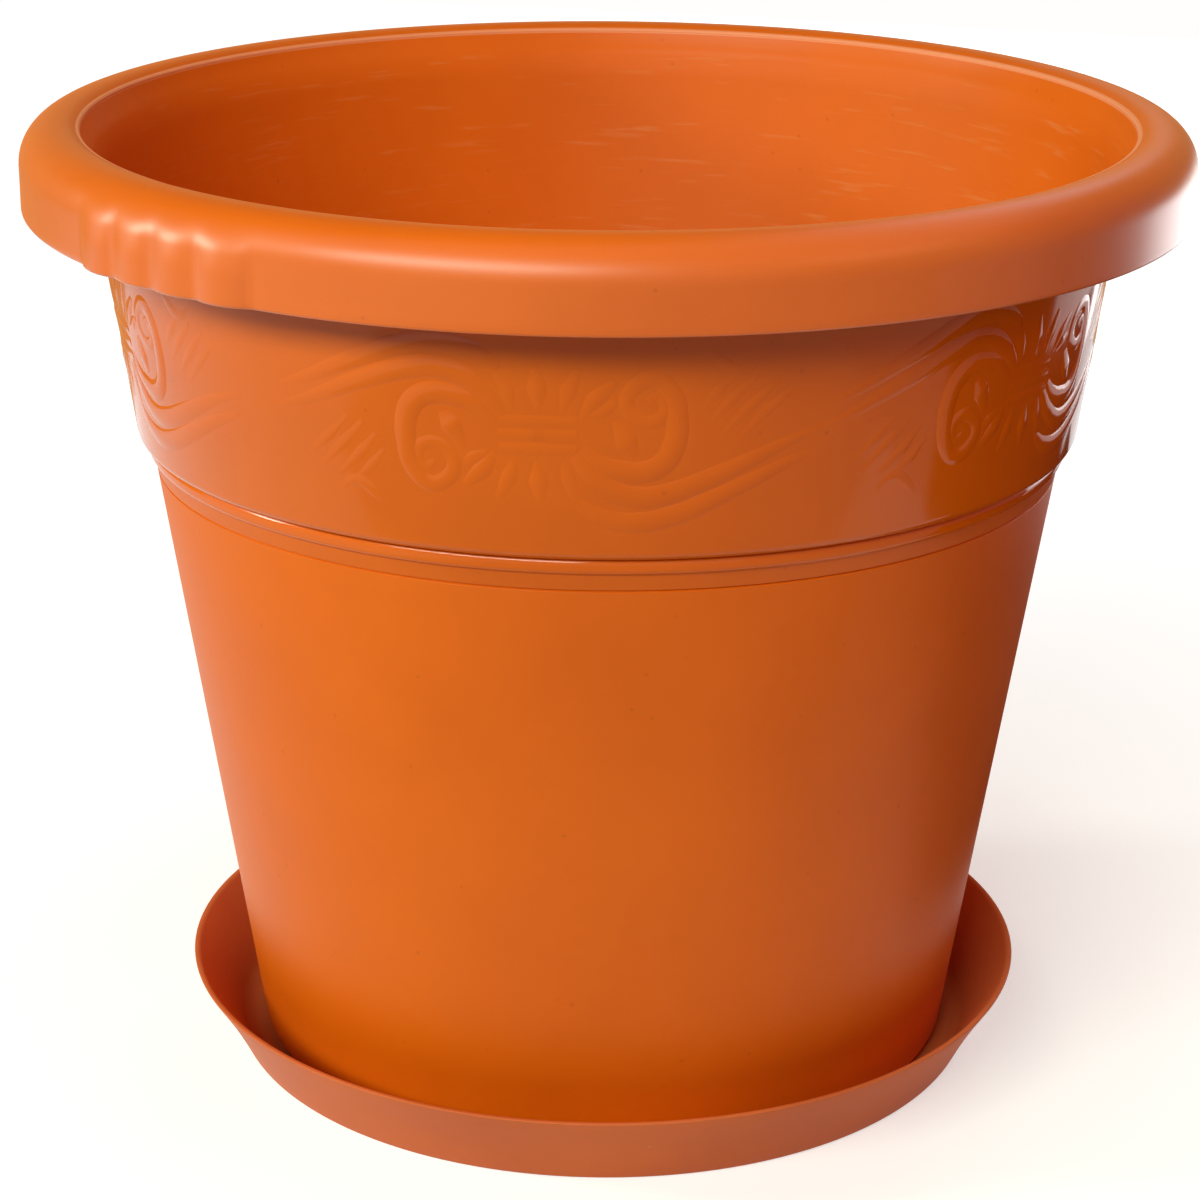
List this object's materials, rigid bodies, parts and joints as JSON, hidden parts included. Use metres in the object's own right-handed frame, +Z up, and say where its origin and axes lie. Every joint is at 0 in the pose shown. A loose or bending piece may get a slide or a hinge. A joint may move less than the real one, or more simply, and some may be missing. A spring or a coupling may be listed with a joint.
{
  "type": "plant pot with saucer",
  "caption": "Tapered round plant pot with a hooked rim, moulded finger grips and a raised ornament band, lifting out of its shallow drip saucer.",
  "frame": {"origin": "middle of the saucer's underside, on the surface it stands on", "axes": "+Z up along the axis of revolution, -Y towards the front, +X to the right seen from the front"},
  "size_m": [0.35, 0.35, 0.2955],
  "materials": {
    "pot_plastic": "moulded polypropylene in terracotta orange, satin wall and glossier ornament band",
    "saucer_plastic": "moulded polypropylene in a slightly duller terracotta, satin"
  },
  "bodies": {
    "saucer": {"saucer": "saucer_plastic"},
    "pot": {"pot": "pot_plastic"}
  },
  "joints": [
    {"name": "pot_lift", "type": "slide", "parent": "saucer", "child": "pot", "axis": [0, 0, 1], "range_m": [0, 0.08]}
  ]
}
